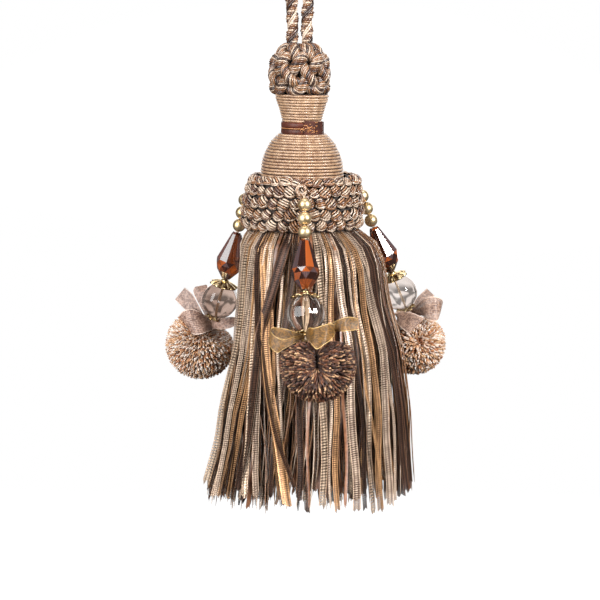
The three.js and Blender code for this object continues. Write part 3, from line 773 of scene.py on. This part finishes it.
def collar_knot(shape, rng, at, down, out, turn):
    """A lump of slanting threads, with a bright thread looped under it."""
    size = rng.uniform(0.85, 1.12)
    slant = math.radians(rng.normal(40, 10)) * (1 if math.cos(turn) < rng.normal(0, 0.2) else -1)
    wide, tall, thick = 2.1 * size, 1.75 * size, 1.5 * size
    middle = at + rng.normal(0, 0.2) * down + (rng.normal(0, 0.15) - 1.25) * out

    def laid_at(across, drop, lift):
        spot = middle + np.multiply.outer(drop, down) + np.multiply.outer(lift, out)
        return polar(spot[..., 0], turn + across / at[0], spot[..., 2])

    side = np.linspace(-0.8, 0.8, 5)[:, None]
    along = np.linspace(-1, 1, 9) * np.sqrt(1 - side**2) * 1.12
    lift = thick * np.sqrt(np.maximum(1 - side**2 - (0.8 * along) ** 2, 0)) - 0.9 * np.abs(along) ** 5
    across = wide * (along * math.cos(slant) - side * math.sin(slant))
    drop = tall * (along * math.sin(slant) + side * math.cos(slant))
    slots = rng.choice(3, 5, p=[0.48, 0.3, 0.22])
    shape.tubes(laid_at(across, drop, lift), 0.36, 5, slots, rng.uniform(0.4, 1, 5))
    bend = np.radians(np.linspace(rng.uniform(-30, 10), rng.uniform(170, 200), 10))
    for i in range(2):
        reach = 0.98 + 0.14 * i
        lift = 0.9 - 0.4 * i - 0.9 * np.cos(bend) ** 4
        loop = laid_at(wide * reach * np.cos(bend), tall * reach * np.sin(bend), lift)
        shape.tubes(loop[None], 0.3, 5, rng.choice(3, p=[0.4, 0.35, 0.25]), 1 - 0.5 * i * rng.random())
    # A dark ball under the threads, at the darkest tone: painted shade between them.
    ball = np.linspace(-0.95, 0.95, 6)[:, None]
    around = circle(8)
    ring = 0.72 * np.sqrt(1 - ball**2)
    lift = thick * (0.6 * ball - 0.2) + 0 * around
    lump = laid_at(wide * ring * np.cos(around), tall * ring * np.sin(around), lift)
    shape.grids(lump[None], 3, 0.0, wrap=True)


def collar_stand(height, turn):
    """How much further than its face the collar's upper rows stand out at the right."""
    raised = np.clip((height - COLLAR_STAND["from"]) / COLLAR_STAND["rise"], 0, 1)
    return COLLAR_STAND["reach"] * np.maximum(0, np.cos(turn)) * raised


def collar_face(height, turn):
    """A point on the collar's face."""
    radii, heights = np.array(COLLAR_FACE).T
    radius = np.interp(-height, -heights, radii) + collar_stand(height, turn)
    return Vector(polar(radius, turn, height))


def collar():
    """Rows of knots in many colours of yarn, with the ring that carries the front string."""
    rng = seeded(11)
    face = smooth([(r, 0, z) for r, z in COLLAR_FACE], count=201)
    shape = Shape()
    rows, knots = COLLAR["rows"], COLLAR["knots"]
    for row in range(rows):
        i = int(200 * (row + 0.5) / rows)
        down = unit(face[i + 3] - face[i - 3])
        out = np.array([-down[2], 0, down[0]])
        for k in range(knots):
            turn = math.tau * (k + 0.5 * (row % 2) + rng.normal(0, 0.06)) / knots
            collar_knot(shape, rng, face[i] + (collar_stand(face[i][2], turn), 0, 0), down, out, turn)
    turn = np.linspace(0, math.tau, 19)
    size = (FRONT_RING["radius"], FRONT_RING["depth"], FRONT_RING["radius"])
    ring = np.stack([np.cos(turn), np.sin(turn), np.sin(turn)], 1) * size
    ring += (FRONT_RING["x"], FRONT_RING["y"], FRONT_RING["z"])
    for i, strand in enumerate(twisted(ring, 5, 0.36, 5)):
        shape.tubes(strand[None], 0.26, 5, i % 2, 0.5 + 0.1 * i)
    # The backing is in the dark packing: painted shade in the gaps between the knots.
    inner = [*[(p[0] - 1.7, p[2]) for p in face[::20]], (18.4, -60.2), (18.4, -52.1), (14.2, -52.1)]
    radii, heights = np.array(inner).T[..., None]
    backing = polar(radii + collar_stand(heights, circle(60)), circle(60), heights)
    shape.grids(backing[None], 4, 0.2, wrap=True)
    shape.made("collar_hitches", ["collar"], [*BLEND, shade_packing])


collar()


# Skirt

def skirt_radius(depth, turn):
    radius = np.interp(depth, SKIRT_PROFILE[:, 0], SKIRT_PROFILE[:, 1])
    right = np.interp(depth, SKIRT_PROFILE[:, 0], SKIRT_PROFILE[:, 2])
    return radius + right * np.cos(turn)


def on_skirt(depth, turn, share):
    """Points at a share of the skirt's radius."""
    return polar(skirt_radius(depth, turn) * share, turn, SKIRT_TOP - depth)


def drift(start, rng, sway):
    """A smooth random sway round the skirt, so that neighbouring strands hang together in locks."""
    knots = np.linspace(0, math.tau, STRAND["locks"] + 1)
    push = rng.normal(0, sway, STRAND["locks"])
    return np.interp(start % math.tau, knots, np.r_[push, push[0]])[:, None]


def strand_paths(count, rng, share, sway=0.075):
    """Paths from the skirt's head to its hem, at about a share of its radius, with their turns."""
    start = math.tau * (np.arange(count) + rng.uniform(-0.5, 0.5, count)) / count
    length = -SKIRT_HEM + SKIRT_TOP + 0.5 - STRAND["shortfall"] * rng.beta(1.1, 2.2, count)
    length = length + np.where(np.cos(start) < 0, 1.8, -1.4) * np.cos(start) ** 2
    depth = -1.5 + (length[:, None] + 1.5) * np.linspace(0, 1, STRAND["points"]) ** 1.15
    down = np.clip(depth / SKIRT_PROFILE[-1, 0], 0, 1)
    wild = rng.normal(0, sway, count) * np.where(rng.random(count) < 0.15, 2.6, 0.7)
    turn = start[:, None] + wild[:, None] * down
    turn = turn + drift(start, rng, 0.08) * np.minimum(1, depth / 25)
    turn = turn + drift(start, rng, 0.11) * down + drift(start, rng, 0.05) * np.sin(down * 4.5)
    wave = np.sin(math.tau * (depth / rng.uniform(28, 60, count)[:, None] + rng.random(count)[:, None]))
    turn = turn + 0.022 * wave * np.minimum(1, depth / 20)
    lifted = (drift(start, rng, 0.06) - 0.02) * np.minimum(1, depth / 12)
    share = (share - rng.uniform(0, 0.08, count)[:, None]) * (1 + np.minimum(lifted, 0.015))
    return on_skirt(depth, turn, share), turn


def laid(shape, path, turn, wide, twist, lean, cup, slots, tones):
    """Ribbons along paths round the skirt, turned over by twist, lying at a lean, with frayed ends."""
    tangent = unit(np.gradient(path, axis=1))
    out = polar(1, turn, 0)
    side = unit(np.cross(out, tangent))
    face = np.cross(tangent, side)
    along = np.linspace(0, 1, path.shape[1])
    angle = (twist[:, None] * along**1.6 + lean[:, None])[..., None]
    side, face = np.cos(angle) * side + np.sin(angle) * face, np.cos(angle) * face - np.sin(angle) * side
    across = np.linspace(-0.5, 0.5, 5)[:, None]
    reach = (wide[:, None] * np.clip(0.7 + 2 * along, 0.7, 1))[..., None, None]
    bowed = cup[:, None, None, None] * (across**2 - 0.12)
    grid = path[:, :, None] + reach * (across * side[:, :, None] + bowed * face[:, :, None])
    frayed = seeded(len(path)).normal(0, 0.7, (len(path), 5, 1))
    grid[:, -1] += frayed * tangent[:, -1:]
    shape.grids(grid, slots, tones)


def ribbons(shape, rows, seed):
    """Flat ribbons: rows are count, share of the radius, widths, twist, and each slot's chance."""
    rng = seeded(seed)
    for count, share, widths, twist, chances in rows:
        path, turn = strand_paths(count, rng, share)
        turning = rng.normal(0, twist, count) * np.where(rng.random(count) < 0.2, 2.5, 1)
        laid(
            shape, path, turn, rng.choice(widths, count), turning, rng.normal(0, 0.3, count),
            rng.normal(0, 0.4, count), rng.choice(len(chances), count, p=chances), rng.uniform(0.1, 1, count),
        )


# Ribbons that lie outermost in front. Columns: bearing at the top, middle and hem, share of the
# skirt's radius, width, slot, tone, twist, length.
FRONT_RIBBONS = [
    (-63, -74, -66, 1.05, 3.2, 0, 0.9, 0.2, 86), (-52, -54, -73, 1.03, 2.6, 3, 0.9, 0.5, 88),
    (-70, -72, -84, 0.98, 1.4, 1, 0.9, -0.6, 84), (-30, -38, -47, 1.05, 2.6, 1, 1, 0.3, 88),
    (-43, -48, -62, 1.04, 2.4, 0, 0.7, -0.4, 88), (-9, -32, -38, 1.07, 3.4, 2, 0.8, 0.4, 84),
    (-36, -42, -55, 1.06, 2.8, 1, 1, 0.5, 88), (-50, -57, -46, 1.05, 1.6, 1, 0.8, 0.6, 87),
    (-30, -35, -26, 1.05, 2.8, 0, 0.8, 0.3, 86), (-56, -62, -68, 1.04, 1, 4, 0.9, 0.9, 90),
    (-58, -66, -88, 1.03, 0.8, 2, 0.3, 0.9, 84), (-46, -44, -50, 1.06, 0.9, 0, 1, 0.9, 88),
    (-20, -26, -33, 1.04, 1.2, 4, 0.2, 0.9, 87), (-38, -39, -33, 1.06, 2.2, 3, 0.8, -0.3, 86),
    (-42, -36, -4, 1.08, 2.2, 2, 0.6, 0.8, 83), (-36, -28, -7, 1.06, 3, 1, 0.8, -0.5, 88),
    (-4, -12, -18, 1.03, 2, 2, 0.4, 0.5, 85), (2, 0, -2, 1.03, 2.2, 2, 0.3, -0.4, 86),
    (-16, -17, -10, 1.05, 0.9, 0, 0.9, 0.7, 87), (-28, -22, -14, 1.05, 0.9, 1, 0.9, -0.9, 84),
    (14, 13, 11, 1.05, 2.2, 3, 0.6, 0.1, 88), (22, 20, 18, 1.05, 1.8, 1, 0.6, 0.1, 90),
    (26, 29, 28, 1.06, 2.6, 0, 0.5, 0.3, 90), (33, 34, 34, 1.05, 2.2, 2, 0.2, -0.3, 90.5),
    (37, 40, 37, 1.06, 1.6, 3, 0.4, 0.5, 90.5), (40, 36, 44, 1.06, 0.9, 1, 1, 0.8, 90),
    (43, 45, 43, 1.05, 2.4, 1, 0.5, 0.2, 91), (50, 52, 49, 1.05, 3, 0, 0.7, 0.2, 90),
    (46, 56, 54, 1.06, 0.9, 0, 0.8, 0.7, 89), (54, 60, 66, 1.04, 3, 2, 0.9, 0.3, 87),
    (60, 66, 74, 1.03, 2.4, 2, 0.3, 0.4, 85), (68, 72, 77, 1.02, 1.6, 4, 0.3, -0.3, 85),
    (8, 5, 3, 1.04, 1, 4, 0.6, 0.8, 88), (29, 25, 23, 1.05, 1, 4, 0.7, 0.8, 88),
    (18, 17, 15, 1.04, 0.9, 0, 1, 0.8, 88), (34, 36, 38, 1.06, 0.9, 0, 0.9, -0.8, 87),
    (-54, -63, -70, 1.05, 2.6, 1, 1, 0.3, 87), (-47, -52, -58, 1.07, 2, 0, 1, -0.3, 88),
    (-56, -62, -78, 1.06, 2.8, 3, 1, -0.7, 85), (-26, -30, -36, 1.06, 1.8, 0, 0.9, 0.5, 87),
]


def front_ribbons(shape):
    rows = np.array(FRONT_RIBBONS, float)
    down = np.linspace(0, 1, STRAND["points"])
    depth = -1.5 + (rows[:, 8:] + 1.5) * down**1.15
    turn = np.array([np.interp(down, (0, 0.45, 1), row[:3]) for row in rows])
    turn = np.radians(turn - 90) + 0.014 * np.sin(depth / 7 + 2.4 * np.arange(len(rows))[:, None])
    share = 1 + (rows[:, 3:4] - 1) * np.minimum(1, depth / 12)
    path = on_skirt(depth, turn, share)
    flat = np.zeros(len(rows))
    laid(shape, path, turn, rows[:, 4], rows[:, 7], flat, flat + 0.3, rows[:, 5].astype(int), rows[:, 6])


def skirt():
    sheer = [
        ladder("silver_ladder", (80, 52, 38), (252, 224, 198), (222, 188, 156), 0.72),
        ladder("golden_ladder", (66, 37, 20), (234, 178, 124), (206, 152, 100), 0.68),
        ladder("dark_ladder", (14, 8, 6), (104, 70, 53), (128, 88, 60), 0.72),
        ladder("wide_ladder", (60, 35, 21), (252, 222, 190), (150, 106, 72), 0.95),
        satin("bronze_satin", (60, 32, 19), (164, 108, 72), 0.3, 0.8),
    ]
    shape = Shape()
    ribbons(shape, [
        (110, 1.0, [1.0, 1.4, 2.0, 2.8], 1.2, [0.2, 0.38, 0.2, 0.1, 0.12]),
        (90, 0.94, [1.4, 2.0, 2.6], 0.9, [0.1, 0.27, 0.38, 0.12, 0.13]),
        # The inner rows mostly take the dark ladder: painted shade deep in the skirt.
        (50, 0.8, [2.2, 2.8], 0.5, [0.06, 0.2, 0.54, 0.1, 0.1]),
        (34, 0.64, [2.6, 3.2], 0.4, [0.02, 0.13, 0.75, 0.05, 0.05]),
        (18, 0.44, [3.0], 0.4, [0.02, 0.13, 0.75, 0.05, 0.05]),
    ], 21)
    front_ribbons(shape)
    shape.made("skirt_ribbons", ["skirt"], sheer)
    rng = seeded(22)
    threads = Shape()
    for count, share, radius in ((150, 1.03, 0.19), (110, 1.0, 0.22), (90, 0.9, 0.28), (40, 0.7, 0.34)):
        path, _ = strand_paths(count, rng, share, sway=0.08)
        slots = rng.choice(4, count, p=[0.3, 0.4, 0.2, 0.1])
        threads.tubes(path, radius, 4, slots, rng.uniform(0.2, 1, count))
    # The skirt's head is in the dark packing: painted shade under the strands.
    head = revolved([(3, -52.4), (17.6, -52.4), (17.6, -59.8), (3, -61)], 48)
    threads.grids(head[None], 4, 0.1, wrap=True)
    threads.made("skirt_threads", [], [*BLEND, shade_packing])


skirt()


# Bead strings

def turned(shape, outline, sides, place, lobe=0.0):
    """A body turned about its own axis, with lobes where lobe says how deep they are, then placed."""
    points = revolved(outline, sides)
    points[..., :2] *= (1 - lobe * (1 - np.cos(MELON_LOBES * circle(sides))))[:, None]
    shape.grids(placed(points, place)[None], wrap=True)


def placed(points, place):
    matrix = np.array(place)
    return points @ matrix[:3, :3].T + matrix[:3, 3]


def gold_bead(shape, place):
    """A round bead with a drilled hole whose rim is eased."""
    ends = np.radians(np.linspace(163, 17, 19))
    ball = [(GOLD_BEAD * math.sin(a), GOLD_BEAD * math.cos(a)) for a in ends]
    outline = [(0.45, -1.2), *ball, (0.45, 1.2)]
    turned(shape, outline, 32, place)


def facets(name, place, node):
    """A cut drop: long facets to its belly, then two rings of short ones set between them."""
    sides = TEAR["sides"]
    rng = seeded(len(name))
    top, belly, foot, length = TEAR["top"], TEAR["belly"], TEAR["foot"], TEAR["length"]
    rows = [
        (top * 0.75, 0, 0), (top, -0.7, 0), (belly, -0.6 * length, 0), (belly * 0.99, -0.7 * length, 0.5),
        (belly * 0.8, -0.83 * length, 1.0), (foot, -length, 1.5),
    ]
    verts = np.concatenate([polar(r, circle(sides) + math.tau * shift / sides, z) for r, z, shift in rows])
    faces = []
    for i in range(len(rows) - 1):
        for k in range(sides):
            a, b = i * sides + k, i * sides + (k + 1) % sides
            if rows[i][2] == rows[i + 1][2]:
                faces.append((a, a + sides, b + sides, b))
            else:
                faces += [(a, a + sides, b), (b, a + sides, b + sides)]
    faces += [tuple(range(sides)), tuple(reversed(range((len(rows) - 1) * sides, len(rows) * sides)))]
    mesh = bpy.data.meshes.new(name)
    points = placed(verts, place) + (0, 0, -LOOP_HEIGHT)
    mesh.from_pydata([tuple(p) for p in points * MM], [], faces)
    mesh.attributes.new("tone", "FLOAT", "FACE").data.foreach_set("value", rng.uniform(0, 1, len(faces)))
    mesh.materials.append(amber)
    drop = added(name, mesh)
    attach(drop, "root")
    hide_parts(node)


def melon_bead(name, place, node, look):
    """A clear pressed bead with soft lobes."""
    shape = Shape()
    outline = [(GLASS * math.sin(a), GLASS * math.cos(a)) for a in np.radians(np.linspace(179, 1, 73))]
    turned(shape, outline, 160, place, lobe=0.024)
    shape.made(name, [node], [look])


def bead_cap(shape, place, up, share):
    """A stamped cap of petals with raised edges, over the bead's end."""
    petals, seat = CAP["petals"], CAP["seat"]
    around = circle(petals * 12)
    wave = np.abs(np.cos(petals / 2 * around))
    rim = share * CAP["radius"] * (0.76 + 0.24 * wave**0.8)
    shares = np.linspace(0.1, 1, 12)[:, None]
    faces = []
    for lift in (0.0, 0.32):
        r = shares * rim
        raised = 1.3 * shares**2 * (wave - 0.5) + 0.18 * (shares > 0.93)
        faces.append(polar(r, around, np.sqrt(np.maximum((seat + lift) ** 2 - r**2, 0.1)) + raised))
    points = np.concatenate([faces[0], faces[1][::-1], faces[0][:1]]) * (1, 1, up)
    shape.grids(placed(points, place)[None], 0, 0.5, wrap=True)
    outline = [(0.5, seat), (1.3, seat + 0.1), (1.35, seat + 0.5), (1.2, seat + 0.85), (0.5, seat + 0.9)]
    turned(shape, [(r, z * up) for r, z in outline], 24, place)


def bow(name, strips, tie, node, look):
    """A bow's folded ribbons round its tie."""
    shape = Shape()
    for i, strip in enumerate(strips):
        rows = np.array(strip)
        edges = [smooth(rows[:, a] * (1, -1, 1), count=12 * len(rows)) for a in ([0, 2, 1], [3, 5, 4])]
        share = np.linspace(0, 1, 11)[:, None]
        grid = edges[0][:, None] * (1 - share) + edges[1][:, None] * share
        ripple = 0.16 * np.sin(np.linspace(0, 14, len(grid)) + i)[:, None] * np.sin(7 * share[:, 0] + i)
        grid[..., 1] += ripple
        shape.grids((grid + np.array(tie))[None], 0, 0.5)
    turn = np.linspace(0, math.tau, 25)
    for k in range(-3, 4):
        ring = polar(1.5 - 0.06 * k**2, turn, k * 0.37 + 0.3 * np.sin(turn))
        shape.tubes((ring + np.array(tie))[None], 0.26, 5, 0, 0.3, start=UP)
    shape.made(name, [node], [look])


def settled(height, crown):
    """A height on a pompom, as a share of its radius, once its tie has pressed its top down to its crown."""
    return np.where(height > 0, height / np.cbrt(1 + (np.maximum(height, 0) / crown) ** 3), height)


def pompom(name, radius, crown, place, node, facing, cleft, depth, push, looks, chances, seed):
    """Yarns that fan out from their tie and end in cut tips over a ball, parted in a cleft that faces out.
    Shade is painted into the cleft and towards the yarns' roots, and a dark core paints the shade inside the
    ball.
    """
    rng = seeded(seed)
    count = POMPOM_YARNS
    k = np.arange(count) + 0.5
    height = 1 - 2 * k / count
    tips = polar(np.sqrt(1 - height**2), math.pi * (1 + 5**0.5) * k, height)
    tips = unit(tips + rng.normal(0, 0.045, tips.shape))
    up = unit(np.array((0, 0, 1)) - facing * facing[2])
    aside = np.arcsin(tips @ np.cross(facing, up))
    rise = np.arctan2(tips @ up, tips @ facing)
    beyond = np.maximum(0, np.abs(rise) - cleft)
    parted = push * np.exp(-((aside / 0.3) ** 2) - (beyond / 0.3) ** 2) * (tips @ facing > 0)
    aside = aside + parted * np.sign(aside)
    tips = np.cos(aside)[:, None] * (np.cos(rise)[:, None] * facing + np.sin(rise)[:, None] * up)
    tips = tips + np.sin(aside)[:, None] * np.cross(facing, up)
    nearest = np.clip(rise, -cleft, cleft)
    away = np.where(tips @ facing > 0, np.hypot(aside, rise - nearest), 2)
    reach = radius * (rng.uniform(0.93, 1.0, count) - depth * np.exp(-((away / 0.36) ** 2)))
    # Painted light: 1 in the open, less in and near the cleft, where shade is painted.
    painted_light = 1 - min(1.8, 2.6 * depth) * np.exp(-((away / 0.24) ** 2))
    root = 0.36 * radius * (np.cos(nearest)[:, None] * facing + np.sin(nearest)[:, None] * up)
    share = np.array([0.0, 0.3, 0.6, 0.95, 1.0])
    paths = root[:, None] + (tips * reach[:, None] - root)[:, None] * share[:, None]
    paths = paths + 0.09 * radius * np.sin(np.pi * share)[:, None] * tips[:, None]
    paths[:, 1:-1] += rng.normal(0, 0.18, (count, 3, 3))
    paths[..., 2] = radius * settled(paths[..., 2] / radius, crown)
    shape = Shape()
    # Tips in the painted shade of the cleft take the darkest yarn.
    slots = np.where(painted_light < 0.45, 0, rng.choice(3, count, p=chances))
    # Tones fall to 0 towards the roots: painted shade inside the ball.
    tones = (rng.uniform(0.3, 1, count) * painted_light)[:, None] * share**1.2
    shape.tubes(placed(paths, place), np.array([0.18, 0.23, 0.28, 0.31, 0.6]), 5, slots, tones)
    # A dark core in the packing: painted shade deep in the ball.
    rise = np.radians(np.linspace(-85, 85, 16))[:, None]
    core = 0.3 * radius * polar(np.cos(rise), circle(32), np.sin(rise))
    core[..., 2] = radius * settled(core[..., 2] / radius, crown)
    shape.grids(placed(core, place)[None], 3, 0.0, wrap=True)
    shape.made(name, [node], [*looks, shade_packing])


SHEERS = {
    "front": organza("olive_organza", (26, 13, 2), (154, 108, 42), (232, 192, 120), 0.14),
    "left": organza("rose_organza", (82, 52, 41), (206, 168, 148), (234, 208, 192)),
    "right": organza("fawn_organza", (86, 55, 43), (200, 163, 140), (236, 210, 192)),
}
# Where each pompom's yarns part, half the angle that the cleft is long, its depth as a share, and
# how far it pushes the yarns aside.
PARTINGS = {
    "front": ((-0.04, -0.98, 0.23), 0.3, 0.7, 0.2),
    "left": ((0.08, -0.89, 0.44), 0.03, 0.16, 0.02),
    "right": ((0.2, -0.95, 0.24), 0.05, 0.3, 0.05),
}
YARN_SHARES = {"front": [0.46, 0.25, 0.29], "left": [0.2, 0.32, 0.48], "right": [0.2, 0.36, 0.44]}


def bead_string(name, bearing, r, z, beads, glass, end, size, swing, crown):
    place = {"r": r, "z": z, "turn": math.radians(bearing - 90)}

    def walk(lean, distance):
        place["r"] += distance * math.sin(math.radians(lean))
        place["z"] -= distance * math.cos(math.radians(lean))

    def spot():
        return Vector(polar(place["r"], place["turn"], place["z"]))

    def hung(lean):
        tilt = Matrix.Rotation(-math.radians(lean), 4, "Y")
        return Matrix.Translation(spot()) @ Matrix.Rotation(place["turn"], 4, "Z") @ tilt

    line = [collar_face(place["z"] + 3.6, place["turn"])]
    gold_beads = Shape()
    for i in range(3):
        gold_bead(gold_beads, hung(beads))
        line.append(spot())
        if i < 2:
            walk(beads, BEAD_STEP)
    gold_beads.made(name + "_gold_beads", [f"{name}_gold_bead_{i}" for i in (1, 2, 3)], [gold])
    walk(glass, BEAD_STEP / 2 + GAP / 2)
    facets(name + "_cut_drop", hung(glass), name + "_teardrop")
    cap_top = CAP["seat"] + CAP["thickness"] + CAP["hub"]
    walk(glass, TEAR["length"] + GAP + cap_top)
    line.append(spot() + Vector(hung(glass).col[2][:3]) * 8)
    line.append(spot())
    melon_bead(name + "_melon_bead", hung(glass), name + "_glass_bead", CLEAR[name])
    caps = Shape()
    bead_cap(caps, hung(glass), 1, 1.0)
    bead_cap(caps, hung(glass), -1, 0.72)
    caps.made(name + "_caps", [name + "_upper_cap", name + "_lower_cap"], [old_gold])
    walk(glass, cap_top + GAP + BOW_KNOT)
    line.append(spot())
    bow(name + "_ribbon_bow", BOW_RIBBONS[name], spot(), name + "_bow", SHEERS[name])
    walk(end, BOW_KNOT + GAP + size * float(settled(POMPOM_CORE, crown)))
    place["turn"] += math.radians(swing)
    line.append(spot())
    ball = hung(end)
    facing, cleft, depth, push = PARTINGS[name]
    facing = unit(np.array(ball.to_3x3().transposed()) @ np.array(facing))
    pompom(
        name + "_yarn_pompom", size, crown, ball, name + "_pompom", facing, cleft, depth, push,
        tips["dark" if name == "front" else "pale"], YARN_SHARES[name], len(name),
    )
    thread = Shape()
    strands = twisted(smooth([tuple(p) for p in line], step=1.0), 2, 0.26, 24)
    thread.tubes(strands, 0.22, 6, 0, 0.6, start=(0, 1, 0))
    thread.made(name + "_thread", [], [silk])


for name, row in STRINGS.items():
    bead_string(name, *row)
